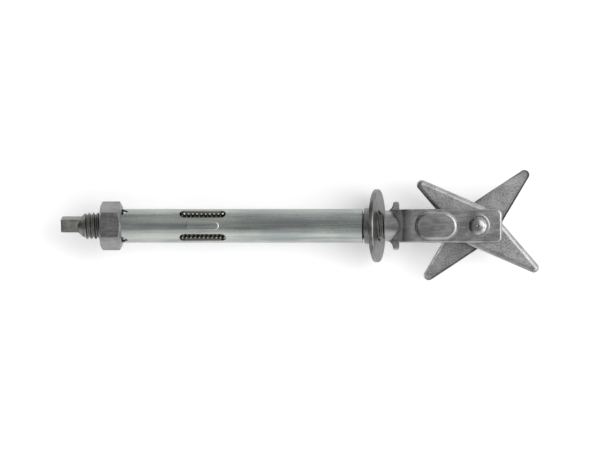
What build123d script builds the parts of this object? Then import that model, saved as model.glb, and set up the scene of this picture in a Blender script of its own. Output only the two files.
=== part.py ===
from build123d import *
from math import asin, cos, radians, sin, tan
import os

# Spring toggle bolt: a sleeve anchor whose toggle wings open behind a hollow wall.
# X runs along the bolt from the nut to the toggle, and Z is square to the flat of the bracket's arms.
# The origin is on the bolt's axis in the outer face of the nut. Sizes are in millimetres and degrees.

# Threaded stud, its thread drawn as a plain cylinder
stud_diameter = 7.9
exposed_thread = 4.4
shoulder_length = 2.4
shoulder_tip_diameter = 3.9
tang_side = 3.97
tang_length = 4.95
tang_turn = 16.0
tang_offset = 0.42
tang_end_round = 0.6
stud_end_chamfer = 0.5

# Hexagon nut
nut_across_flats = 12.8
nut_height = 6.4
nut_corner_round = 1.2
nut_chamfer_angle = 30.0
nut_outer_inset = 0.25
nut_inner_inset = 0.65
nut_countersink = 0.5
nut_thread_gap = 0.05

# Expansion sleeve
sleeve_diameter = 10.0
sleeve_length = 70.8
sleeve_wall = 0.75
notch_length = 2.0
notch_width = 3.2
notch_turn = 57.0
slot_start = 17.1
slot_length = 13.65
slot_width = 2.8
slot_turn = 45.0
rib_length = 9.8
rib_width = 2.5
rib_rise = 0.4
rib_edge_round = 0.3

# Spring lock washer
lock_gap = 0.4
lock_outer_diameter = 10.6
lock_inner_diameter = 8.5
lock_thickness = 1.6
lock_rise = 0.3
lock_turn = 350.0
lock_split_turn = -70.0

# Flat washer, leaning on the rod
washer_gap = 1.17
washer_diameter = 21.5
washer_bore = 8.8
washer_thickness = 1.5
washer_lean = 8.0
washer_edge_bevel = 0.25

# Clevis bracket, drawn and bent from one sheet
sheet = 1.5
collar_gap = 1.65
arm_gap = 8.4
arm_width = 9.85
arm_reach = 32.09
arm_corner_round = 1.6
arm_edge_round = 0.6
ear_span = 14.2
ear_height = 3.2
ear_corner_round = 0.9
ear_outer_round = 0.7
ear_inner_round = 0.4
collar_diameter = 9.0
collar_length = 2.29
collar_flare = 1.95
flare_margin = 0.65
pad_station = 12.99
pad_length = 12.8
pad_width = 8.2
pad_rise = 0.8
pad_slope = 40.0
pad_edge_round = 1.0

# Rivet
rivet_inset = 6.98
rivet_diameter = 4.0
rivet_head_diameter = 5.5
rivet_head_height = 1.35
rivet_rim_height = 0.35
rivet_dimple_diameter = 0.9
rivet_dimple_depth = 0.3

# Wings, pressed as long shallow pans
wing_length = 43.8
wing_tip_radius = 1.5
wing_middle_radius = 6.05
wing_sheet = 0.8
wing_depth = 2.5
wing_outer_round = 1.4
wing_side_gap = 0.5
wing_bore_gap = 0.08
front_wing_turn = -36.4
front_wing_offset = 0.2
front_wing_shift = 0.0
back_wing_turn = 46.4
back_wing_offset = 0.55
back_wing_shift = -0.2

# Torsion spring round the rivet
spring_wire = 0.8
spring_wire_sides = 8
spring_mean_diameter = 6.4
spring_pitch = 0.9
spring_whole_turns = 4
spring_leg_gap = 0.1

# Stations and radii that follow from the sizes above
stud_radius = stud_diameter / 2
thread_start = -exposed_thread
shoulder_start = thread_start - shoulder_length
tang_start = shoulder_start - tang_length
sleeve_start = nut_height
sleeve_end = sleeve_start + sleeve_length
sleeve_radius = sleeve_diameter / 2
lock_start = sleeve_end + lock_gap
washer_middle = lock_start + lock_thickness + lock_rise + washer_gap + washer_thickness / 2
collar_start = washer_middle + washer_thickness / 2 + collar_gap
base_station = collar_start + collar_length
base_inner = base_station + sheet
arm_end = base_station + arm_reach
arm_outer = arm_gap / 2 + sheet
bend_x = base_station + arm_outer
rivet_x = arm_end - rivet_inset
rivet_axis = Axis((rivet_x, 0, 0), (0, 0, 1))


def square_to_rivet(height, turn, upward):
    """Plane across the rivet, its X turned along a wing and its normal up (1) or down (-1)."""
    along = (cos(radians(turn)), sin(radians(turn)), 0)
    return Plane(origin=(rivet_x, 0, height), x_dir=along, z_dir=(0, 0, upward))


# Threaded stud: its end necks down to a square tang, a little off the axis
with BuildPart() as threaded_stud:
    with BuildSketch(Plane.XZ):
        with BuildLine():
            Polyline(
                (shoulder_start, 0),
                (shoulder_start, shoulder_tip_diameter / 2),
                (thread_start, stud_radius),
                (base_inner - stud_end_chamfer, stud_radius),
                (base_inner, stud_radius - stud_end_chamfer),
                (base_inner, 0),
                close=True,
            )
        make_face()
    revolve(axis=Axis.X)
    with BuildSketch(Plane.YZ.offset(tang_start)):
        with Locations((tang_offset, 0)):
            Rectangle(tang_side, tang_side, rotation=tang_turn)
    extrude(amount=tang_length + shoulder_length)
    tang_face = threaded_stud.faces().sort_by(Axis.X)[0]
    fillet(tang_face.edges(), radius=tang_end_round)
threaded_stud.part.label = "threaded_stud"

# Hexagon nut: a prism cut by one revolved profile that chamfers its corners, more at the sleeve
nut_corner_radius = nut_across_flats / 2 / cos(radians(30))
nut_outer_radius = nut_across_flats / 2 - nut_outer_inset
nut_inner_radius = nut_across_flats / 2 - nut_inner_inset
nut_outer_run = (nut_corner_radius - nut_outer_radius) * tan(radians(nut_chamfer_angle))
nut_inner_run = (nut_corner_radius - nut_inner_radius) * tan(radians(nut_chamfer_angle))

with BuildPart() as hex_nut:
    with BuildSketch(Plane.YZ):
        RegularPolygon(radius=nut_corner_radius, side_count=6)
        fillet(vertices(), radius=nut_corner_round)
    extrude(amount=nut_height)
    with BuildSketch(Plane.XZ):
        with BuildLine():
            Polyline(
                (0, 0),
                (0, nut_outer_radius),
                (nut_outer_run, nut_corner_radius),
                (nut_height - nut_inner_run, nut_corner_radius),
                (nut_height, nut_inner_radius),
                (nut_height, 0),
                close=True,
            )
        make_face()
    revolve(axis=Axis.X, mode=Mode.INTERSECT)
    with BuildSketch(Plane.YZ):
        Circle(stud_radius + nut_thread_gap)
    extrude(amount=nut_height, mode=Mode.SUBTRACT)
    mouths = hex_nut.faces().filter_by(Axis.X).edges().filter_by(GeomType.CIRCLE).sort_by(SortBy.RADIUS)[:2]
    chamfer(mouths, length=nut_countersink)
hex_nut.part.label = "hex_nut"

# Expansion sleeve: a thin tube with pressed ribs, four long slots and four notches at the nut
rib_x = sleeve_start + slot_start + slot_length / 2

with BuildPart() as expansion_sleeve:
    with BuildSketch(Plane.YZ.offset(sleeve_start)):
        Circle(sleeve_radius)
    extrude(amount=sleeve_length)
    for facing in (Plane.XY, Plane.XY.rotated((180, 0, 0))):
        with BuildSketch(facing):
            with Locations((rib_x, 0)):
                SlotOverall(rib_length, rib_width)
        extrude(amount=sleeve_radius + rib_rise)
        rib_top = expansion_sleeve.faces().sort_by(Axis(facing.origin, facing.z_dir))[-1]
        fillet(rib_top.edges(), radius=rib_edge_round)
    with BuildSketch(Plane.YZ.offset(sleeve_start)):
        Circle(sleeve_radius - sleeve_wall)
    extrude(amount=sleeve_length, mode=Mode.SUBTRACT)
    for facing in (Plane.XY, Plane.XY.rotated((180, 0, 0))):
        with BuildSketch(facing):
            with Locations((rib_x, 0)):
                SlotOverall(rib_length - 2 * sleeve_wall, rib_width - 2 * sleeve_wall)
        extrude(amount=sleeve_radius + rib_rise - sleeve_wall, mode=Mode.SUBTRACT)
    for side in (1, -1):
        with BuildSketch(Plane.XY.rotated((side * slot_turn, 0, 0))):
            with Locations((rib_x, 0)):
                SlotOverall(slot_length, slot_width)
        extrude(amount=sleeve_diameter, both=True, mode=Mode.SUBTRACT)
        with BuildSketch(Plane.XY.rotated((side * notch_turn, 0, 0))):
            with BuildLine():
                Polyline(
                    (sleeve_start, -notch_width / 2),
                    (sleeve_start + notch_length, 0),
                    (sleeve_start, notch_width / 2),
                    close=True,
                )
            make_face()
        extrude(amount=sleeve_diameter, both=True, mode=Mode.SUBTRACT)
expansion_sleeve.part.label = "expansion_sleeve"

# Spring lock washer: one open turn of square wire
lock_width = (lock_outer_diameter - lock_inner_diameter) / 2
lock_mean_radius = (lock_outer_diameter + lock_inner_diameter) / 4
lock_plane = Plane.YZ.offset(lock_start + lock_thickness / 2).rotated((lock_split_turn, 0, 0))
lock_wire = lock_plane * Helix(lock_rise * 360 / lock_turn, lock_rise, lock_mean_radius)

with BuildPart() as spring_lock_washer:
    with BuildSketch(Plane(lock_wire @ 0, x_dir=lock_plane.x_dir, z_dir=lock_wire % 0)):
        Rectangle(lock_width, lock_thickness)
    sweep(path=lock_wire, is_frenet=True)
spring_lock_washer.part.label = "spring_lock_washer"

# Flat washer
with BuildPart() as flat_washer:
    with BuildSketch(Plane.YZ.offset(washer_middle).rotated((0, -washer_lean, 0))):
        Circle(washer_diameter / 2)
        Circle(washer_bore / 2, mode=Mode.SUBTRACT)
    extrude(amount=washer_thickness / 2, both=True)
    chamfer(flat_washer.edges().filter_by(GeomType.CIRCLE), length=washer_edge_bevel)
flat_washer.part.label = "flat_washer"

# Clevis bracket: a round-ended block takes the collar and its flare, then its front outline, then the gap
ear_band = sheet - ear_outer_round
flare_radius = min(collar_flare, (ear_span - collar_diameter) / 2 - flare_margin)

with BuildPart() as clevis_bracket:
    with BuildSketch(Plane.XZ):
        with Locations((bend_x, 0)):
            Circle(arm_outer)
            Rectangle(arm_end - bend_x, 2 * arm_outer, align=(Align.MIN, Align.CENTER))
    extrude(amount=ear_span / 2, both=True)
    with BuildSketch(Plane.YZ.offset(collar_start)):
        Circle(collar_diameter / 2)
    extrude(amount=collar_length + arm_outer)
    collar_root = clevis_bracket.edges().filter_by(GeomType.BSPLINE)
    fillet(collar_root, radius=flare_radius)
    for side_face in clevis_bracket.faces().filter_by(Axis.Y):
        outline = side_face.edges().filter_by(lambda edge: edge.center().X < arm_end - arm_corner_round)
        fillet(outline, radius=ear_outer_round)
    with BuildSketch(Plane.XZ):
        with Locations((bend_x, 0)):
            Circle(arm_gap / 2)
            Rectangle(arm_end - bend_x, arm_gap, align=(Align.MIN, Align.CENTER))
    extrude(amount=ear_span / 2, both=True, mode=Mode.SUBTRACT)
    for side_face in clevis_bracket.faces().filter_by(Axis.Y):
        inner_outline = side_face.edges().filter_by(
            lambda edge: abs(edge.center().Z) < (arm_gap + ear_band) / 2 - ear_band / 4
            and edge.center().X > base_inner - ear_band / 4
        )
        fillet(inner_outline, radius=ear_inner_round)
    with BuildSketch(Plane.YZ.offset(collar_start)):
        Rectangle(arm_width, 2 * arm_outer)
        RectangleRounded(ear_span, ear_height, ear_corner_round)
    extrude(amount=collar_length + arm_reach, mode=Mode.INTERSECT)
    with BuildSketch(Plane.YZ.offset(collar_start)):
        Circle(stud_radius)
    extrude(amount=collar_length + arm_outer, mode=Mode.SUBTRACT)
    arm_corners = clevis_bracket.edges().filter_by(Axis.Z).group_by(Axis.X)[-1]
    fillet(arm_corners, radius=arm_corner_round)
    for end in (0, -1):
        arm_face = clevis_bracket.faces().filter_by(Axis.Z).sort_by(Axis.Z)[end]
        arm_rim = arm_face.edges().filter_by(lambda edge: edge.center().X > bend_x + arm_edge_round)
        fillet(arm_rim, radius=arm_edge_round)
    for side in (1, -1):
        pad_x = base_station + pad_station
        with BuildSketch(Plane(origin=(pad_x, 0, side * arm_outer), x_dir=(1, 0, 0), z_dir=(0, 0, side))):
            SlotOverall(pad_length, pad_width)
        extrude(amount=pad_rise, taper=pad_slope)
        pad_top = clevis_bracket.faces().filter_by(Axis.Z).sort_by(Axis((0, 0, 0), (0, 0, side)))[-1]
        fillet(pad_top.edges(), radius=pad_edge_round)
        with BuildSketch(Plane(origin=(pad_x, 0, side * arm_gap / 2), x_dir=(1, 0, 0), z_dir=(0, 0, side))):
            SlotOverall(pad_length - sheet, pad_width - sheet)
        extrude(amount=pad_rise, taper=pad_slope, mode=Mode.SUBTRACT)
    with BuildSketch(Plane.XY):
        with Locations((rivet_x, 0)):
            Circle(rivet_diameter / 2)
    extrude(amount=arm_outer, both=True, mode=Mode.SUBTRACT)
clevis_bracket.part.label = "clevis_bracket"

# Rivet: its shank fills the holes of both arms, and each domed head has a dimple
head_top = arm_outer + rivet_head_height
head_rim = (rivet_head_diameter / 2, arm_outer + rivet_rim_height)
dimple_rim = (rivet_dimple_diameter / 2, head_top)

with BuildPart() as wing_rivet:
    with BuildSketch(Plane.XZ.shift_origin((rivet_x, 0, 0))):
        with BuildLine():
            Polyline((0, 0), (0, head_top - rivet_dimple_depth), dimple_rim)
            TangentArc(dimple_rim, head_rim, tangent=(1, 0))
            Polyline(
                head_rim,
                (rivet_head_diameter / 2, arm_outer),
                (rivet_diameter / 2, arm_outer),
                (rivet_diameter / 2, 0),
                (0, 0),
            )
        make_face()
        mirror(about=Plane.XZ)
    revolve(axis=rivet_axis)
wing_rivet.part.label = "wing_rivet"

# Wings: two like pans that face each other, each with its closed web along one arm
wing_web = arm_gap / 2 - wing_side_gap
wing_rim = wing_web - wing_depth
tip_station = wing_length / 2 - wing_tip_radius


def wing_outline(inset):
    """Sketch a wing's outline, inset from the real one: two small rounds and a large one in a hull."""
    with Locations((-tip_station, 0), (tip_station, 0)):
        Circle(wing_tip_radius - inset)
    Circle(wing_middle_radius - inset)
    make_hull()


def make_wing(label, turn, upward, offset, shift):
    """Wing turned by an angle from the bolt's axis, its web up (1) or down (-1).

    Its outline lies beside the hole by the offset and along it by the shift.
    """
    hole_plane = square_to_rivet(upward * wing_rim, turn, upward)
    rim_plane = hole_plane.shift_origin(hole_plane.from_local_coords((shift, -offset, 0)))
    web_axis = Axis((0, 0, 0), (0, 0, upward))
    with BuildPart() as wing:
        with BuildSketch(rim_plane):
            wing_outline(0)
        extrude(amount=wing_depth)
        web = wing.faces().sort_by(web_axis)[-1]
        fillet(web.edges(), radius=wing_outer_round)
        with BuildSketch(rim_plane):
            wing_outline(wing_sheet)
        extrude(amount=wing_depth - wing_sheet, mode=Mode.SUBTRACT)
        web_inside = wing.faces().filter_by(Axis.Z).sort_by(web_axis)[-2]
        fillet(web_inside.edges(), radius=(wing_tip_radius - wing_sheet) / 2)
        with BuildSketch(hole_plane):
            Circle(rivet_diameter / 2 + wing_bore_gap)
        extrude(amount=wing_depth, mode=Mode.SUBTRACT)
    wing.part.label = label
    return wing


front_wing = make_wing("front_wing", front_wing_turn, 1, front_wing_offset, front_wing_shift)
back_wing = make_wing("back_wing", back_wing_turn, -1, back_wing_offset, back_wing_shift)

# Torsion spring: a coil round the rivet whose legs reach into the wings and bear on their flanges
half_taper = asin((wing_middle_radius - wing_tip_radius) / tip_station)
leg_side = (spring_mean_diameter + spring_wire) / 2 + spring_leg_gap + back_wing_offset
leg_length = tip_station - (leg_side * cos(half_taper) - wing_tip_radius + wing_sheet) / sin(half_taper)
coil_turn = 360 * spring_whole_turns + (front_wing_turn - back_wing_turn - 180) % 360
coil_height = spring_pitch * coil_turn / 360
coil_plane = square_to_rivet(-coil_height / 2, back_wing_turn + 90, 1)
coil = coil_plane * Helix(spring_pitch, coil_height, spring_mean_diameter / 2)

with BuildPart() as torsion_spring:
    with BuildSketch(Plane(coil @ 0, z_dir=coil % 0)):
        RegularPolygon(spring_wire / 2, spring_wire_sides)
    sweep(path=coil, is_frenet=True)
    for leg_plane in (Plane(coil @ 0, z_dir=-(coil % 0)), Plane(coil @ 1, z_dir=coil % 1)):
        with BuildSketch(leg_plane):
            RegularPolygon(spring_wire / 2, spring_wire_sides)
        extrude(amount=leg_length)
torsion_spring.part.label = "torsion_spring"

pieces = (
    threaded_stud,
    hex_nut,
    expansion_sleeve,
    spring_lock_washer,
    flat_washer,
    clevis_bracket,
    wing_rivet,
    front_wing,
    back_wing,
    torsion_spring,
)
os.makedirs("parts", exist_ok=True)
for piece in pieces:
    export_step(piece.part, f"parts/{piece.part.label}.step")
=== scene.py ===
"""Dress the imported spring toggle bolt: thread, edges, finishes, studio and camera.

The bolt lies along +X with its toggle at the far end, in metres. The camera looks down on it.
"""

import logging
import math
from dataclasses import dataclass, replace
from enum import Enum
from typing import Iterable, List, Optional, Sequence, Tuple

import bmesh
import bpy
from mathutils import Matrix, Vector

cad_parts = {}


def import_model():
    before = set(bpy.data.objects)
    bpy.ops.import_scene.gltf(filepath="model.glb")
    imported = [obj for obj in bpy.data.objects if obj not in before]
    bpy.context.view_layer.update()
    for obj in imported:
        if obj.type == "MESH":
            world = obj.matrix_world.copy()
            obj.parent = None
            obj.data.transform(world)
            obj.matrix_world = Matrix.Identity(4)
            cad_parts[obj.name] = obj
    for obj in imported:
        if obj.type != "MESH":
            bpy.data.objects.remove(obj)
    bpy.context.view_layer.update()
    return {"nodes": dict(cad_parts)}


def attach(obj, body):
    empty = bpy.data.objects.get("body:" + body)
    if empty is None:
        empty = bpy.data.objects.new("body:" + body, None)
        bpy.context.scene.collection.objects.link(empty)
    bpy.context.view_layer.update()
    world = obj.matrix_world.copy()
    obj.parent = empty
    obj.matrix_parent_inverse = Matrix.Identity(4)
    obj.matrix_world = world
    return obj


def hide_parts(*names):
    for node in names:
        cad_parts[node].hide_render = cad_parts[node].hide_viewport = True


log = logging.getLogger("toggle_bolt")

MM = 0.001
Colour = Tuple[float, float, float]
Triple = Tuple[float, float, float]

# Vertices of a CAD mesh this close count as one, and faces that meet under this angle as one flat
WELD_DISTANCE = 0.0005 * MM
FLAT_BELOW = 0.6

# Section of every rounded edge: a circle's
ROUND_PROFILE = 0.5


class Body(Enum):
    """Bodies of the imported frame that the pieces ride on."""

    BOLT = "bolt"
    SLEEVE = "sleeve"
    NUT = "nut"
    LOCK_WASHER = "lock_washer"
    WALL_WASHER = "wall_washer"
    FRONT_WING = "front_wing"
    BACK_WING = "back_wing"


class NodeSheet:
    """Short hand for adding and linking shader nodes in one tree."""

    def __init__(self, tree: bpy.types.NodeTree) -> None:
        """Empty the tree and keep it.

        Args:
            tree: Node tree of a material or a world.
        """
        self.tree = tree
        self.tree.nodes.clear()

    def add(self, kind: str, **settings: object) -> bpy.types.Node:
        """Add a node and set its plain properties.

        Args:
            kind: Node type, such as "ShaderNodeMath".
            settings: Property names and values of the node.

        Returns:
            The new node.
        """
        node = self.tree.nodes.new(kind)
        for key, value in settings.items():
            setattr(node, key, value)
        return node

    def link(self, source: bpy.types.NodeSocket, target: bpy.types.NodeSocket) -> None:
        """Join two sockets.

        Args:
            source: Output socket.
            target: Input socket.
        """
        self.tree.links.new(source, target)

    def math(self, operation: str, first: object, second: object = 0.0) -> bpy.types.NodeSocket:
        """Work out one number from two sockets or constants.

        Args:
            operation: Math node operation.
            first: Socket or number.
            second: Socket or number.

        Returns:
            The socket that holds the result.
        """
        node = self.add("ShaderNodeMath", operation=operation)
        for socket, value in zip(node.inputs, (first, second)):
            if isinstance(value, bpy.types.NodeSocket):
                self.link(value, socket)
            else:
                socket.default_value = value
        return node.outputs[0]

    def shared(self, first: bpy.types.NodeSocket, second: bpy.types.NodeSocket,
               share: float) -> bpy.types.NodeSocket:
        """Add up two numbers by their shares.

        Args:
            first: Socket that has the rest.
            second: Socket that has the share.
            share: Part of the second, from 0 to 1.

        Returns:
            The weighted sum.
        """
        rest = self.math("MULTIPLY", first, 1.0 - share)
        return self.math("ADD", rest, self.math("MULTIPLY", second, share))

    def noise(self, vector: bpy.types.NodeSocket, scale: float, detail: float) -> bpy.types.NodeSocket:
        """Add a noise texture.

        Args:
            vector: Coordinates.
            scale: Marks a metre.
            detail: Finer layers on top of the first.

        Returns:
            Its value, from about 0.2 to 0.8.
        """
        node = self.add("ShaderNodeTexNoise")
        self.link(vector, node.inputs["Vector"])
        node.inputs["Scale"].default_value = scale
        node.inputs["Detail"].default_value = detail
        return node.outputs["Fac"]

    def stretched(self, vector: bpy.types.NodeSocket, scale: Triple) -> bpy.types.NodeSocket:
        """Stretch coordinates along the axes, for marks that run one way.

        Args:
            vector: Coordinates.
            scale: Factor for each axis.

        Returns:
            The stretched coordinates.
        """
        node = self.add("ShaderNodeMapping")
        self.link(vector, node.inputs["Vector"])
        node.inputs["Scale"].default_value = scale
        return node.outputs["Vector"]

    def span(self, value: bpy.types.NodeSocket, low: float, high: float, start: float,
             end: float) -> bpy.types.NodeSocket:
        """Map a number from one range to another, held at its ends.

        Args:
            value: Socket to map.
            low: Value that gives start.
            high: Value that gives end.
            start: Result at low.
            end: Result at high.

        Returns:
            The mapped socket.
        """
        node = self.add("ShaderNodeMapRange", interpolation_type="SMOOTHSTEP")
        self.link(value, node.inputs["Value"])
        for name, number in (("From Min", low), ("From Max", high), ("To Min", start), ("To Max", end)):
            node.inputs[name].default_value = number
        return node.outputs["Result"]

    def blend(self, factor: bpy.types.NodeSocket, first: object, second: object) -> bpy.types.NodeSocket:
        """Mix two colours by a factor.

        Args:
            factor: Socket from 0 to 1.
            first: Colour or socket at 0.
            second: Colour or socket at 1.

        Returns:
            The mixed colour.
        """
        node = self.add("ShaderNodeMix", data_type="RGBA")
        self.link(factor, node.inputs[0])
        for socket, value in ((node.inputs[6], first), (node.inputs[7], second)):
            if isinstance(value, bpy.types.NodeSocket):
                self.link(value, socket)
            else:
                socket.default_value = (*value, 1.0)
        return node.outputs[2]


# What all steel finishes share: finer layers of each noise, the ranges that become tone, roughness and pits,
# the streaks' part in the roughness, and how much deeper they lie than the grain
DRIFT_DETAIL = 4.0
STREAK_DETAIL = 3.0
GRAIN_DETAIL = 5.0
WAVE_DETAIL = 1.0
TONE_RANGE = (0.36, 0.64)
ROUGH_RANGE = (0.35, 0.65)
PIT_RANGE = (0.08, 0.26)
STREAK_WEAR = 0.5
STREAK_DEPTH = 1.5


@dataclass(frozen=True)
class SteelFinish:
    """A steel surface: tone that drifts and streaks, soft press waves, fine grain and pits.

    Scales are in marks a metre, depths in metres.
    """

    name: str
    light: Colour
    dark: Colour
    tone_scale: float
    streak_stretch: Triple
    streak_scale: float
    streak_share: float
    rough_low: float
    rough_high: float
    grain_scale: float
    grain_depth: float
    wave_scale: float
    wave_depth: float
    pit_scale: float
    pit_depth: float

    def pits(self, sheet: NodeSheet, place: bpy.types.NodeSocket) -> bpy.types.NodeSocket:
        """Sink small round pits.

        Args:
            sheet: Node sheet of the material.
            place: Coordinates on the object.

        Returns:
            Height, 0 in a pit and 1 beside it.
        """
        cells = sheet.add("ShaderNodeTexVoronoi", feature="F1")
        sheet.link(place, cells.inputs["Vector"])
        cells.inputs["Scale"].default_value = self.pit_scale
        return sheet.span(cells.outputs["Distance"], *PIT_RANGE, 0.0, 1.0)

    def relief(self, sheet: NodeSheet,
               layers: Iterable[Tuple[bpy.types.NodeSocket, float]]) -> Optional[bpy.types.NodeSocket]:
        """Lay bumps over each other.

        Args:
            sheet: Node sheet of the material.
            layers: Height and depth of each bump, the lowest first.

        Returns:
            The normal over all of them.
        """
        normal: Optional[bpy.types.NodeSocket] = None
        for height, depth in layers:
            bump = sheet.add("ShaderNodeBump")
            bump.inputs["Strength"].default_value = 1.0
            bump.inputs["Distance"].default_value = depth
            sheet.link(height, bump.inputs["Height"])
            if normal is not None:
                sheet.link(normal, bump.inputs["Normal"])
            normal = bump.outputs["Normal"]
        return normal

    def build(self) -> bpy.types.Material:
        """Make the node material.

        Returns:
            The material, ready to assign.
        """
        material = bpy.data.materials.new(self.name)
        material.use_nodes = True
        sheet = NodeSheet(material.node_tree)
        place = sheet.add("ShaderNodeTexCoord").outputs["Object"]
        drift = sheet.noise(place, self.tone_scale, DRIFT_DETAIL)
        streaks = sheet.noise(sheet.stretched(place, self.streak_stretch), self.streak_scale, STREAK_DETAIL)
        grain = sheet.noise(place, self.grain_scale, GRAIN_DETAIL)
        waves = sheet.noise(place, self.wave_scale, WAVE_DETAIL)
        tone = sheet.span(sheet.shared(drift, streaks, self.streak_share), *TONE_RANGE, 0.0, 1.0)
        wear = sheet.shared(grain, streaks, STREAK_WEAR)
        roughness = sheet.span(wear, *ROUGH_RANGE, self.rough_low, self.rough_high)
        normal = self.relief(sheet, (
            (waves, self.wave_depth),
            (streaks, self.grain_depth * STREAK_DEPTH),
            (grain, self.grain_depth),
            (self.pits(sheet, place), self.pit_depth),
        ))
        shader = sheet.add("ShaderNodeBsdfPrincipled")
        shader.inputs["Metallic"].default_value = 1.0
        sheet.link(sheet.blend(tone, self.dark, self.light), shader.inputs["Base Color"])
        sheet.link(roughness, shader.inputs["Roughness"])
        sheet.link(normal, shader.inputs["Normal"])
        output = sheet.add("ShaderNodeOutputMaterial")
        sheet.link(shader.outputs["BSDF"], output.inputs["Surface"])
        return material


STUD_STEEL = SteelFinish(
    name="zinc_plated_thread", light=(0.25, 0.25, 0.235), dark=(0.15, 0.15, 0.14), tone_scale=400.0,
    streak_stretch=(1.0, 1.0, 1.0), streak_scale=1800.0, streak_share=0.4, rough_low=0.26, rough_high=0.42,
    grain_scale=7000.0, grain_depth=0.003 * MM, wave_scale=500.0, wave_depth=0.02 * MM,
    pit_scale=1800.0, pit_depth=0.004 * MM)
NUT_STEEL = SteelFinish(
    name="cold_formed_nut_steel", light=(0.275, 0.273, 0.28), dark=(0.18, 0.178, 0.18), tone_scale=200.0,
    streak_stretch=(0.4, 1.0, 1.0), streak_scale=1500.0, streak_share=0.3, rough_low=0.24, rough_high=0.38,
    grain_scale=6000.0, grain_depth=0.004 * MM, wave_scale=250.0, wave_depth=0.04 * MM,
    pit_scale=1200.0, pit_depth=0.008 * MM)
SLEEVE_STEEL = SteelFinish(
    name="zinc_plated_sleeve_steel", light=(0.42, 0.44, 0.41), dark=(0.26, 0.285, 0.285), tone_scale=90.0,
    streak_stretch=(0.035, 1.0, 1.0), streak_scale=900.0, streak_share=0.62, rough_low=0.2, rough_high=0.34,
    grain_scale=5000.0, grain_depth=0.003 * MM, wave_scale=160.0, wave_depth=0.05 * MM,
    pit_scale=900.0, pit_depth=0.008 * MM)
# Sleeve steel made rougher, lighter and yellower for the slots' bare cut edges; part of the lighter tone is a
# painted highlight along the slot tops
CUT_EDGE_HIGHLIGHT_STEEL = replace(
    SLEEVE_STEEL, name="bare_cut_edge_painted_highlight_steel", light=(0.45, 0.44, 0.37), dark=(0.26, 0.255, 0.21),
    rough_low=0.4, rough_high=0.6)
WASHER_STEEL = SteelFinish(
    name="tumbled_washer_steel", light=(0.22, 0.225, 0.22), dark=(0.12, 0.12, 0.117), tone_scale=300.0,
    streak_stretch=(1.0, 0.4, 0.4), streak_scale=1200.0, streak_share=0.35, rough_low=0.26, rough_high=0.42,
    grain_scale=5000.0, grain_depth=0.005 * MM, wave_scale=400.0, wave_depth=0.04 * MM,
    pit_scale=1500.0, pit_depth=0.01 * MM)
BRACKET_STEEL = SteelFinish(
    name="drawn_bracket_steel", light=(0.32, 0.32, 0.316), dark=(0.21, 0.208, 0.21), tone_scale=180.0,
    streak_stretch=(0.25, 1.0, 1.0), streak_scale=1500.0, streak_share=0.25, rough_low=0.22, rough_high=0.34,
    grain_scale=6000.0, grain_depth=0.003 * MM, wave_scale=200.0, wave_depth=0.045 * MM,
    pit_scale=1300.0, pit_depth=0.006 * MM)
RIVET_STEEL = SteelFinish(
    name="burnished_rivet_steel", light=(0.34, 0.34, 0.335), dark=(0.21, 0.21, 0.21), tone_scale=500.0,
    streak_stretch=(1.0, 1.0, 1.0), streak_scale=2000.0, streak_share=0.4, rough_low=0.16, rough_high=0.3,
    grain_scale=8000.0, grain_depth=0.003 * MM, wave_scale=600.0, wave_depth=0.05 * MM,
    pit_scale=2000.0, pit_depth=0.008 * MM)
WING_STEEL = SteelFinish(
    name="tumbled_wing_steel", light=(0.38, 0.38, 0.376), dark=(0.21, 0.212, 0.215), tone_scale=260.0,
    streak_stretch=(1.0, 1.0, 1.0), streak_scale=2200.0, streak_share=0.55, rough_low=0.26, rough_high=0.44,
    grain_scale=4500.0, grain_depth=0.006 * MM, wave_scale=220.0, wave_depth=0.05 * MM,
    pit_scale=1600.0, pit_depth=0.012 * MM)
SPRING_STEEL = SteelFinish(
    name="drawn_spring_wire", light=(0.3, 0.3, 0.29), dark=(0.17, 0.17, 0.17), tone_scale=900.0,
    streak_stretch=(1.0, 1.0, 1.0), streak_scale=2500.0, streak_share=0.4, rough_low=0.25, rough_high=0.4,
    grain_scale=8000.0, grain_depth=0.003 * MM, wave_scale=800.0, wave_depth=0.01 * MM,
    pit_scale=2500.0, pit_depth=0.004 * MM)


def publish(mesh: bmesh.types.BMesh, name: str, finish: bpy.types.Material, body: Body,
            nodes: Sequence[str], sharp_above: float) -> bpy.types.Object:
    """Turn a bmesh into a piece of the frame.

    Args:
        mesh: Finished bmesh, in metres and in place. It is freed.
        name: Name of the piece.
        finish: Material of the whole piece.
        body: Body that it rides on.
        nodes: CAD nodes that it stands for.
        sharp_above: Angle in degrees from which an edge is shaded sharp.

    Returns:
        The new object.
    """
    for face in mesh.faces:
        face.smooth = True
    for edge in mesh.edges:
        edge.smooth = not edge.is_manifold or edge.calc_face_angle(0.0) < math.radians(sharp_above)
    data = bpy.data.meshes.new(name)
    mesh.to_mesh(data)
    mesh.free()
    data.materials.append(finish)
    piece = bpy.data.objects.new(name, data)
    bpy.context.scene.collection.objects.link(piece)
    even = piece.modifiers.new("even_normals", "WEIGHTED_NORMAL")
    even.keep_sharp = True
    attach(piece, body.value)
    if nodes:
        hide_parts(*nodes)
    return piece


def merged_copy(node: bpy.types.Object) -> bmesh.types.BMesh:
    """Copy a CAD node's mesh with its loose triangles joined and its flats made whole.

    Args:
        node: CAD node, which is left alone.

    Returns:
        The joined bmesh.
    """
    mesh = bmesh.new()
    mesh.from_mesh(node.data)
    bmesh.ops.remove_doubles(mesh, verts=mesh.verts, dist=WELD_DISTANCE)
    bmesh.ops.dissolve_limit(mesh, angle_limit=math.radians(FLAT_BELOW), verts=mesh.verts, edges=mesh.edges)
    return mesh


def folds(mesh: bmesh.types.BMesh, above: float) -> List[bmesh.types.BMEdge]:
    """Find the edges where faces meet sharply.

    Args:
        mesh: Bmesh to search.
        above: Angle in degrees from which an edge counts.

    Returns:
        The edges.
    """
    return [e for e in mesh.edges if e.is_manifold and e.calc_face_angle(0.0) > math.radians(above)]


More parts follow.
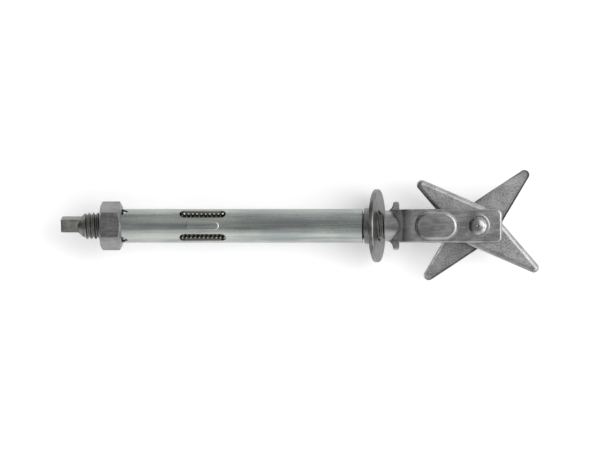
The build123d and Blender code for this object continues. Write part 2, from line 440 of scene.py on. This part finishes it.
def round_edges(mesh: bmesh.types.BMesh, edges: List[bmesh.types.BMEdge], width: float, segments: int,
                clamped: bool = False) -> None:
    """Turn edges into rounds.

    Args:
        mesh: Bmesh to change.
        edges: Its edges to round.
        width: Width of the round, in the mesh's own unit.
        segments: Faces across the round.
        clamped: Whether rounds stop short of each other.
    """
    bmesh.ops.bevel(mesh, geom=edges, offset=width, offset_type="OFFSET", affect="EDGES", segments=segments,
                    profile=ROUND_PROFILE, material=-1, clamp_overlap=clamped)


@dataclass
class ThreadedStud:
    """The rod: rolled thread, necked shoulder and milled square tang. Sizes in millimetres."""

    radius: float = 3.95
    pitch: float = 1.25
    depth: float = 0.6
    crest_share: float = 0.16
    steps: int = 40
    thread_start: float = -4.4
    thread_end: float = 87.6
    shoulder_start: float = -6.8
    shoulder_radius: float = 1.95
    tang_side: float = 3.97
    tang_start: float = -11.75
    tang_turn: float = 16.0
    tang_offset: float = 0.42
    tang_end_round: float = 0.6
    tang_edge_round: float = 0.2
    run_out: float = 1.3
    spare_turns: float = 1.5
    weld: float = 0.002
    cut_tolerance: float = 0.0001
    end_tolerance: float = 0.001
    cone_segments: int = 64
    edge_steps: int = 3
    end_steps: int = 5

    @property
    def root(self) -> float:
        """Radius at the root of the thread."""
        return self.radius - self.depth

    @property
    def cone_slope(self) -> float:
        """Rise of the shoulder's cone, radius over length."""
        return (self.radius - self.shoulder_radius) / (self.thread_start - self.shoulder_start)

    def thread(self) -> bmesh.types.BMesh:
        """Spin one thread profile along the rod, cut its ends flat and run it out on the cone.

        Returns:
            The closed thread.
        """
        mesh = bmesh.new()
        run_out_start = self.thread_start - self.run_out
        start = run_out_start - self.pitch * self.spare_turns
        turns = math.ceil((self.thread_end - start) / self.pitch) + 1
        flat = self.pitch * self.crest_share
        flank = (self.pitch - 2 * flat) / 2
        profile = (
            (0.0, self.root),
            (flat, self.root),
            (flat + flank, self.radius),
            (2 * flat + flank, self.radius),
            (self.pitch, self.root),
        )
        verts = [mesh.verts.new((start * MM + x * MM, 0.0, r * MM)) for x, r in profile]
        edges = [mesh.edges.new(pair) for pair in zip(verts, verts[1:])]
        step_run = self.pitch * MM / self.steps
        bmesh.ops.spin(mesh, geom=verts + edges, cent=(0.0, 0.0, 0.0), axis=(1.0, 0.0, 0.0),
                       dvec=(step_run, 0.0, 0.0), angle=math.tau * turns, steps=self.steps * turns)
        bmesh.ops.remove_doubles(mesh, verts=mesh.verts, dist=self.weld * MM)
        self.cut_flat(mesh, run_out_start, -1.0)
        self.cut_flat(mesh, self.thread_end, 1.0)
        self.press_to_cone(mesh)
        bmesh.ops.recalc_face_normals(mesh, faces=mesh.faces)
        return mesh

    def cut_flat(self, mesh: bmesh.types.BMesh, station: float, facing: float) -> None:
        """Cut the thread square to the rod and close it there.

        Args:
            mesh: The thread.
            station: Where the cut is, along the rod.
            facing: 1 if the far side goes and -1 if the near side goes.
        """
        everything = mesh.verts[:] + mesh.edges[:] + mesh.faces[:]
        cut = bmesh.ops.bisect_plane(mesh, geom=everything, dist=self.cut_tolerance * MM,
                                     plane_co=(station * MM, 0.0, 0.0), plane_no=(facing, 0.0, 0.0),
                                     clear_outer=True)
        rim = [item for item in cut["geom_cut"] if isinstance(item, bmesh.types.BMEdge)]
        bmesh.ops.edgeloop_fill(mesh, edges=rim)

    def press_to_cone(self, mesh: bmesh.types.BMesh) -> None:
        """Pull in what stands out of the shoulder's cone, so that the thread runs out there.

        Args:
            mesh: The thread.
        """
        for vert in mesh.verts:
            reach = (self.radius + min(0.0, vert.co.x / MM - self.thread_start) * self.cone_slope) * MM
            away = Vector((0.0, vert.co.y, vert.co.z))
            if away.length > reach:
                vert.co = Vector((vert.co.x, 0.0, 0.0)) + away.normalized() * reach

    def shoulder(self, mesh: bmesh.types.BMesh) -> None:
        """Add the cone between the thread's root and the tang.

        Args:
            mesh: Bmesh to add to.
        """
        length = (self.root - self.shoulder_radius) / self.cone_slope
        turn = Matrix.Rotation(math.radians(90.0), 4, "Y")
        middle = Matrix.Translation(((self.shoulder_start + length / 2) * MM, 0.0, 0.0))
        bmesh.ops.create_cone(mesh, cap_ends=True, segments=self.cone_segments,
                              radius1=self.shoulder_radius * MM, radius2=self.root * MM, depth=length * MM,
                              matrix=middle @ turn)

    def tang(self, mesh: bmesh.types.BMesh) -> None:
        """Add the square tang, turned about the rod, its long edges and its end rounded off.

        Args:
            mesh: Bmesh to add to.
        """
        length = self.thread_start - self.tang_start
        middle = Matrix.Translation(((self.tang_start + length / 2) * MM, self.tang_offset * MM, 0.0))
        turn = Matrix.Rotation(math.radians(self.tang_turn), 4, "X")
        size = Matrix.Diagonal((length * MM, self.tang_side * MM, self.tang_side * MM, 1.0))
        block = bmesh.ops.create_cube(mesh, size=1.0, matrix=middle @ turn @ size)
        edges = {edge for vert in block["verts"] for edge in vert.link_edges}
        long_edges = [e for e in edges if abs(e.verts[0].co.x - e.verts[1].co.x) > length * MM / 2]
        round_edges(mesh, long_edges, self.tang_edge_round * MM, self.edge_steps)
        near = self.end_tolerance * MM
        end_edges = [e for e in mesh.edges if all(abs(v.co.x - self.tang_start * MM) < near for v in e.verts)]
        round_edges(mesh, end_edges, self.tang_end_round * MM, self.end_steps)

    def build(self) -> bpy.types.Object:
        """Build and dress the stud.

        Returns:
            The piece.
        """
        mesh = self.thread()
        self.shoulder(mesh)
        self.tang(mesh)
        return publish(mesh, "rolled_thread_stud", STUD_STEEL.build(), Body.BOLT, ["threaded_stud"],
                       sharp_above=40.0)


@dataclass
class SoftEdgedPart:
    """A CAD node copied with its sharp edges rounded and its finish put on.

    Sizes are in millimetres and degrees.
    """

    node: str
    name: str
    finish: SteelFinish
    body: Body
    slot: str
    edge_round: float
    edge_angle: float = 25.0
    segments: int = 3
    sharp_above: float = 35.0

    def build(self, nodes: dict) -> bpy.types.Object:
        """Copy, round and dress the node.

        Args:
            nodes: CAD nodes of the frame by name.

        Returns:
            The piece.
        """
        mesh = merged_copy(nodes[self.node])
        round_edges(mesh, folds(mesh, self.edge_angle), self.edge_round * MM, self.segments, clamped=True)
        return publish(mesh, self.name, self.finish.build(), self.body, [self.node],
                       self.sharp_above)


@dataclass
class SlotLips:
    """Bare cut edges that the punch dragged in along the sleeve's slots, in a lighter finish that is partly a
    painted highlight. Sizes in millimetres and degrees.
    """

    start: float = 24.9
    end: float = 35.75
    slots: int = 4
    first_slot: float = 45.0
    slot_half: float = 1.36
    top: float = 4.76
    height: float = 0.86
    thickness: float = 0.3
    lean: float = 17.0
    edge_round: float = 0.08
    edge_steps: int = 2

    def build(self) -> bpy.types.Object:
        """Build the lips of all four slots.

        Returns:
            The piece.
        """
        mesh = bmesh.new()
        length = self.end - self.start
        middle = self.start + length / 2
        size = Matrix.Diagonal((length * MM, self.thickness * MM, self.height * MM, 1.0))
        for slot in range(self.slots):
            turn = Matrix.Rotation(math.radians(self.first_slot + 360.0 / self.slots * slot), 4, "X")
            for side in (1.0, -1.0):
                hang = Matrix.Translation((0.0, side * self.thickness / 2 * MM, -self.height / 2 * MM))
                tilt = Matrix.Rotation(math.radians(-side * self.lean), 4, "X")
                edge = Matrix.Translation((middle * MM, side * self.slot_half * MM, self.top * MM))
                bmesh.ops.create_cube(mesh, size=1.0, matrix=turn @ edge @ tilt @ hang @ size)
        round_edges(mesh, mesh.edges[:], self.edge_round * MM, self.edge_steps)
        # The lips' lighter steel is bare cut edge and, in part, painted highlight
        return publish(mesh, "slot_lips", CUT_EDGE_HIGHLIGHT_STEEL.build(), Body.SLEEVE, [],
                       sharp_above=60.0)


@dataclass
class PressedWing:
    """One wing, a long shallow pan with a thin rim and a bore. Sizes in millimetres and degrees."""

    name: str
    node: str
    body: Body
    turn: float
    upward: float
    offset: float
    shift: float
    hinge_x: float = 111.22
    length: float = 43.8
    tip_radius: float = 1.5
    middle_radius: float = 6.05
    web: float = 3.7
    depth: float = 2.5
    sheet: float = 0.6
    rim: float = 0.3
    outer_round: float = 1.4
    inner_round: float = 0.3
    rim_round: float = 0.1
    bore_radius: float = 2.08
    arc_steps: int = 10
    bore_steps: int = 48
    outer_steps: int = 8
    inner_steps: int = 3
    rim_steps: int = 2
    bore_collar: float = 0.3
    flat_below: float = 0.5
    fold_above: float = 45.0
    level_tolerance: float = 0.01
    downward: float = -0.9

    def arc(self, mesh: bmesh.types.BMesh, centre: Vector, radius: float, start: float,
            sweep: float) -> List[bmesh.types.BMVert]:
        """Spin one vertex round a centre.

        Args:
            mesh: Bmesh to add to.
            centre: Middle of the arc.
            radius: Its radius.
            start: Angle at which it starts.
            sweep: Angle that it covers.

        Returns:
            Its vertices in order.
        """
        first = mesh.verts.new(centre + Vector((math.cos(start), math.sin(start), 0.0)) * radius)
        before = set(mesh.verts)
        bmesh.ops.spin(mesh, geom=[first], cent=centre, axis=(0.0, 0.0, 1.0), angle=sweep,
                       steps=self.arc_steps)
        made = [vert for vert in mesh.verts if vert not in before]
        return [first] + made

    def outline(self, mesh: bmesh.types.BMesh) -> None:
        """Draw the outline, two small rounds and two wide ones, with the bore inside.

        Args:
            mesh: Bmesh to add to.
        """
        tip = self.length / 2 - self.tip_radius
        taper = math.asin((self.middle_radius - self.tip_radius) / tip)
        quarter = math.pi / 2
        middle = Vector((self.shift, -self.offset, 0.0))
        reach = Vector((tip, 0.0, 0.0))
        runs = (
            self.arc(mesh, middle + reach, self.tip_radius, taper - quarter, math.pi - 2 * taper),
            self.arc(mesh, middle, self.middle_radius, quarter - taper, 2 * taper),
            self.arc(mesh, middle - reach, self.tip_radius, quarter + taper, math.pi - 2 * taper),
            self.arc(mesh, middle, self.middle_radius, 3 * quarter - taper, 2 * taper),
        )
        for run, after in zip(runs, runs[1:] + runs[:1]):
            mesh.edges.new((run[-1], after[0]))
        bmesh.ops.create_circle(mesh, segments=self.bore_steps, radius=self.bore_radius)

    def underside(self, mesh: bmesh.types.BMesh) -> List[bmesh.types.BMFace]:
        """Find the faces that look down.

        Args:
            mesh: The pan.

        Returns:
            The faces.
        """
        return [face for face in mesh.faces if face.normal.z < self.downward]

    def pan(self) -> bmesh.types.BMesh:
        """Raise the outline, sink its inside, and round its edges.

        Returns:
            The pan, lying with its web up and its bore on the origin, in millimetres.
        """
        mesh = bmesh.new()
        self.outline(mesh)
        bmesh.ops.triangle_fill(mesh, edges=mesh.edges[:], use_beauty=True, normal=(0.0, 0.0, 1.0))
        raised = bmesh.ops.extrude_face_region(mesh, geom=mesh.faces[:])["geom"]
        top = [item for item in raised if isinstance(item, bmesh.types.BMVert)]
        bmesh.ops.translate(mesh, verts=top, vec=(0.0, 0.0, self.depth))
        bmesh.ops.recalc_face_normals(mesh, faces=mesh.faces)
        bmesh.ops.dissolve_limit(mesh, angle_limit=math.radians(self.flat_below), verts=mesh.verts,
                                 edges=mesh.edges)
        inset = bmesh.ops.inset_region(mesh, faces=self.underside(mesh), thickness=self.rim,
                                       use_boundary=True, use_even_offset=True)
        rim_faces = set(inset["faces"])
        inside = [face for face in self.underside(mesh) if face not in rim_faces]
        sunk = bmesh.ops.extrude_face_region(mesh, geom=inside)["geom"]
        bottom = [item for item in sunk if isinstance(item, bmesh.types.BMVert)]
        bmesh.ops.delete(mesh, geom=inside, context="FACES")
        bmesh.ops.translate(mesh, verts=bottom, vec=(0.0, 0.0, self.depth - self.sheet))
        self.bevel(mesh, self.depth, self.outer_round, self.outer_steps)
        self.bevel(mesh, self.depth - self.sheet, self.inner_round, self.inner_steps)
        self.bevel(mesh, 0.0, self.rim_round, self.rim_steps)
        return mesh

    def bevel(self, mesh: bmesh.types.BMesh, level: float, width: float, segments: int) -> None:
        """Round the long edges of the pan that lie at one level, and leave the bore's.

        Args:
            mesh: The pan.
            level: Height of the edges.
            width: Width of the round.
            segments: Faces across it.
        """
        clear = self.bore_radius + self.rim + self.bore_collar
        edges = [
            e for e in folds(mesh, self.fold_above)
            if all(abs(v.co.z - level) < self.level_tolerance and v.co.length > clear for v in e.verts)
        ]
        round_edges(mesh, edges, width, segments)

    def build(self) -> bpy.types.Object:
        """Build the pan, turn it to its place and dress it.

        Returns:
            The piece.
        """
        mesh = self.pan()
        lift = Matrix.Translation((0.0, 0.0, self.web - self.depth))
        flip = Matrix.Rotation(math.pi if self.upward < 0 else 0.0, 4, "X")
        aim = Matrix.Rotation(math.radians(self.turn), 4, "Z")
        place = Matrix.Translation((self.hinge_x, 0.0, 0.0))
        bmesh.ops.transform(mesh, matrix=Matrix.Scale(MM, 4) @ place @ aim @ flip @ lift, verts=mesh.verts)
        bmesh.ops.recalc_face_normals(mesh, faces=mesh.faces)
        return publish(mesh, self.name, WING_STEEL.build(), self.body, [self.node],
                       sharp_above=50.0)


@dataclass
class SpunRivet:
    """The rivet with its domed heads, and the soft press marks round them. Sizes in millimetres."""

    x: float = 111.22
    shank_radius: float = 2.0
    head_radius: float = 2.75
    seat: float = 5.7
    rim_height: float = 0.35
    dome_height: float = 1.35
    dimple_radius: float = 0.45
    dimple_depth: float = 0.3
    foot_height: float = 0.12
    foot_undercut: float = 0.1
    dome_power: float = 1.15
    steps: int = 72
    dome_steps: int = 10
    weld: float = 0.001
    mark_inner: float = 2.6
    mark_outer: float = 3.7
    mark_height: float = 0.06
    mark_sink: float = 0.05

    # Shares of the dimple's radius and depth, and of the mark's width and height
    dimple_curve: Tuple[Tuple[float, float], ...] = ((0.0, 1.0), (0.55, 0.8), (0.9, 0.25))
    mark_curve: Tuple[Tuple[float, float], ...] = (
        (0.0, 0.0), (0.12, 0.75), (0.3, 1.0), (0.55, 0.72), (0.8, 0.25), (1.0, 0.0))

    def spun(self, mesh: bmesh.types.BMesh, profile: Iterable[Tuple[float, float]], side: float) -> None:
        """Spin a profile of radius and height round the rivet's axis.

        Args:
            mesh: Bmesh to add to.
            profile: Radii and heights, in millimetres.
            side: 1 for the upper side and -1 for the lower.
        """
        verts = [mesh.verts.new(((self.x + r) * MM, 0.0, side * z * MM)) for r, z in profile]
        edges = [mesh.edges.new(pair) for pair in zip(verts, verts[1:])]
        bmesh.ops.spin(mesh, geom=verts + edges, cent=(self.x * MM, 0.0, 0.0), axis=(0.0, 0.0, 1.0),
                       angle=math.tau, steps=self.steps, use_merge=True)

    def dome(self) -> Iterable[Tuple[float, float]]:
        """Draw one head, from the foot of its dimple to its seat.

        Yields:
            Radii and heights.
        """
        top = self.seat + self.dome_height
        rim = self.seat + self.rim_height
        for run, fall in self.dimple_curve:
            yield self.dimple_radius * run, top - self.dimple_depth * fall
        for step in range(self.dome_steps + 1):
            turn = math.pi / 2 * step / self.dome_steps
            run = self.dimple_radius + (self.head_radius - self.dimple_radius) * math.sin(turn)
            yield run, rim + (top - rim) * math.cos(turn) ** self.dome_power
        yield self.head_radius, self.seat + self.foot_height
        yield self.head_radius - self.foot_undercut, self.seat
        yield self.shank_radius, self.seat
        yield self.shank_radius, 0.0

    def mark(self) -> Iterable[Tuple[float, float]]:
        """Draw the swell that the riveting left on the arm, its foot sunk into the sheet.

        Yields:
            Radii and heights.
        """
        base = self.seat - self.mark_sink
        width = self.mark_outer - self.mark_inner
        for run, rise in self.mark_curve:
            foot = self.mark_sink if rise > 0 else 0.0
            yield self.mark_inner + width * run, base + foot + self.mark_height * rise
        yield self.mark_inner, base

    def build(self) -> Iterable[bpy.types.Object]:
        """Build the rivet and the press marks.

        Returns:
            The two pieces.
        """
        rivet = bmesh.new()
        marks = bmesh.new()
        for side in (1.0, -1.0):
            self.spun(rivet, self.dome(), side)
            self.spun(marks, self.mark(), side)
        for mesh in (rivet, marks):
            bmesh.ops.remove_doubles(mesh, verts=mesh.verts, dist=self.weld * MM)
            bmesh.ops.recalc_face_normals(mesh, faces=mesh.faces)
        return (
            publish(rivet, "domed_rivet", RIVET_STEEL.build(), Body.BOLT, ["wing_rivet"],
                    sharp_above=50.0),
            publish(marks, "rivet_press_marks", BRACKET_STEEL.build(), Body.BOLT, [],
                    sharp_above=60.0),
        )


@dataclass
class Studio:
    """Pale floor, soft light and a camera that looks down on the bolt. Sizes in millimetres and degrees."""

    pixel: float = 1 / 3.4
    frame_width: int = 600
    centre: Triple = (58.77, 0.24, 0.0)
    lean: float = 3.3
    distance: float = 1500.0
    sensor: float = 36.0
    far_clip: float = 10000.0
    floor_level: float = -10.98
    floor_half: float = 4000.0
    floor_colour: Colour = (0.93, 0.93, 0.93)
    floor_glow: float = 0.17
    key_size: float = 1200.0
    key_power: float = 7.5
    key_place: Triple = (1050.0, -250.0, 700.0)
    top_size: float = 320.0
    top_power: float = 0.95
    top_place: Triple = (262.0, 135.0, 400.0)
    bright_way: Triple = (1.0, -0.25, 0.0)
    world_turns: Tuple[float, float] = (-0.75, 0.5)
    world_levels: Tuple[float, float] = (0.08, 1.7)
    overhead_turns: Tuple[float, float] = (0.55, 1.0)
    overhead_level: float = 0.43

    def camera(self) -> None:
        """Stand the camera at the photograph's angle."""
        view_width = self.pixel * self.frame_width
        data = bpy.data.cameras.new("overhead_camera")
        data.sensor_width = self.sensor
        data.lens = self.sensor * self.distance / view_width
        data.clip_end = self.far_clip * MM
        eye = bpy.data.objects.new("overhead_camera", data)
        lean = math.radians(self.lean)
        away = Vector((math.sin(lean), 0.0, math.cos(lean))) * self.distance
        eye.location = (Vector(self.centre) + away) * MM
        eye.rotation_euler = (0.0, lean, 0.0)
        bpy.context.scene.collection.objects.link(eye)
        bpy.context.scene.camera = eye

    def floor(self) -> None:
        """Lay a pale floor that looks white to the camera and keeps the bolt's shadow."""
        mesh = bmesh.new()
        bmesh.ops.create_grid(mesh, x_segments=1, y_segments=1, size=self.floor_half * MM)
        bmesh.ops.translate(mesh, verts=mesh.verts, vec=(0.0, 0.0, self.floor_level * MM))
        data = bpy.data.meshes.new("pale_floor")
        mesh.to_mesh(data)
        mesh.free()
        material = bpy.data.materials.new("pale_floor")
        material.use_nodes = True
        sheet = NodeSheet(material.node_tree)
        matt = sheet.add("ShaderNodeBsdfDiffuse")
        matt.inputs["Color"].default_value = (*self.floor_colour, 1.0)
        path = sheet.add("ShaderNodeLightPath")
        bent = sheet.math("MAXIMUM", path.outputs["Is Glossy Ray"], path.outputs["Is Transmission Ray"])
        seen = sheet.math("MAXIMUM", path.outputs["Is Camera Ray"], bent)
        glow = sheet.add("ShaderNodeEmission")
        sheet.link(sheet.math("MULTIPLY", seen, self.floor_glow), glow.inputs["Strength"])
        both = sheet.add("ShaderNodeAddShader")
        sheet.link(matt.outputs["BSDF"], both.inputs[0])
        sheet.link(glow.outputs["Emission"], both.inputs[1])
        output = sheet.add("ShaderNodeOutputMaterial")
        sheet.link(both.outputs["Shader"], output.inputs["Surface"])
        data.materials.append(material)
        floor = bpy.data.objects.new("pale_floor", data)
        bpy.context.scene.collection.objects.link(floor)

    def lamp(self, name: str, place: Triple, aim: Triple, size: float, power: float) -> None:
        """Hang one soft square lamp.

        Args:
            name: Name of the lamp.
            place: Where it hangs, from the middle of the bolt.
            aim: Direction in which it shines.
            size: Side of the lamp.
            power: Power in watts.
        """
        data = bpy.data.lights.new(name, "AREA")
        data.shape = "SQUARE"
        data.size = size * MM
        data.energy = power
        lamp = bpy.data.objects.new(name, data)
        lamp.location = (Vector(place) + Vector(self.centre)) * MM
        lamp.rotation_euler = Vector(aim).to_track_quat("-Z", "Y").to_euler()
        lamp.visible_camera = False
        bpy.context.scene.collection.objects.link(lamp)

    def world(self) -> None:
        """Surround the bolt with a grey studio, bright to the right and dark to the left."""
        world = bpy.data.worlds.new("grey_studio")
        world.use_nodes = True
        bpy.context.scene.world = world
        sheet = NodeSheet(world.node_tree)
        way = sheet.add("ShaderNodeTexCoord").outputs["Generated"]
        axis = sheet.add("ShaderNodeVectorMath", operation="DOT_PRODUCT")
        sheet.link(way, axis.inputs[0])
        axis.inputs[1].default_value = Vector(self.bright_way).normalized()
        side = sheet.span(axis.outputs["Value"], *self.world_turns, *self.world_levels)
        parts = sheet.add("ShaderNodeSeparateXYZ")
        sheet.link(way, parts.inputs[0])
        height = sheet.span(parts.outputs["Z"], *self.overhead_turns, 0.0, 1.0)
        over = sheet.math("MULTIPLY", height, self.overhead_level)
        round_about = sheet.math("MULTIPLY", sheet.math("SUBTRACT", 1.0, height), side)
        strength = sheet.math("ADD", over, round_about)
        background = sheet.add("ShaderNodeBackground")
        background.inputs["Color"].default_value = (1.0, 1.0, 1.0, 1.0)
        sheet.link(strength, background.inputs["Strength"])
        output = sheet.add("ShaderNodeOutputWorld")
        sheet.link(background.outputs["Background"], output.inputs["Surface"])

    def build(self) -> None:
        """Set the stage, the light and the camera."""
        scene = bpy.context.scene
        scene.view_settings.view_transform = "Standard"
        self.camera()
        self.floor()
        key_aim = tuple(-value for value in self.key_place)
        self.lamp("key_lamp", self.key_place, key_aim, self.key_size, self.key_power)
        self.lamp("top_lamp", self.top_place, (0.0, 0.0, -1.0), self.top_size, self.top_power)
        self.world()


def main() -> None:
    """Load the frame, build and dress every piece, and set the studio."""
    logging.basicConfig(level=logging.INFO, format="%(name)s: %(message)s")
    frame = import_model()
    nodes = frame["nodes"]
    pieces = [ThreadedStud().build()]
    for part in (
        SoftEdgedPart("hex_nut", "cold_formed_nut", NUT_STEEL, Body.NUT, "nut_steel", edge_round=0.12),
        SoftEdgedPart("expansion_sleeve", "slotted_sleeve", SLEEVE_STEEL, Body.SLEEVE, "sleeve_steel",
                      edge_round=0.2),
        SoftEdgedPart("spring_lock_washer", "split_lock_washer", WASHER_STEEL, Body.LOCK_WASHER,
                      "washer_steel", edge_round=0.2),
        SoftEdgedPart("flat_washer", "stamped_flat_washer", WASHER_STEEL, Body.WALL_WASHER, "washer_steel",
                      edge_round=0.1),
        SoftEdgedPart("clevis_bracket", "drawn_clevis", BRACKET_STEEL, Body.BOLT, "bracket_steel",
                      edge_round=0.1, edge_angle=55.0, sharp_above=48.0),
        SoftEdgedPart("torsion_spring", "wound_torsion_spring", SPRING_STEEL, Body.BOLT, "spring_steel",
                      edge_round=0.09, edge_angle=30.0),
    ):
        pieces.append(part.build(nodes))
    for wing in (
        PressedWing("pressed_front_wing", "front_wing", Body.FRONT_WING, turn=-36.4, upward=1.0, offset=0.2,
                    shift=0.0),
        PressedWing("pressed_back_wing", "back_wing", Body.BACK_WING, turn=46.4, upward=-1.0, offset=0.55,
                    shift=-0.2),
    ):
        pieces.append(wing.build())
    pieces.append(SlotLips().build())
    pieces.extend(SpunRivet().build())
    for piece in pieces:
        log.info("made %s with %d faces", piece.name, len(piece.data.polygons))
    Studio().build()


if __name__ == "__main__":
    main()
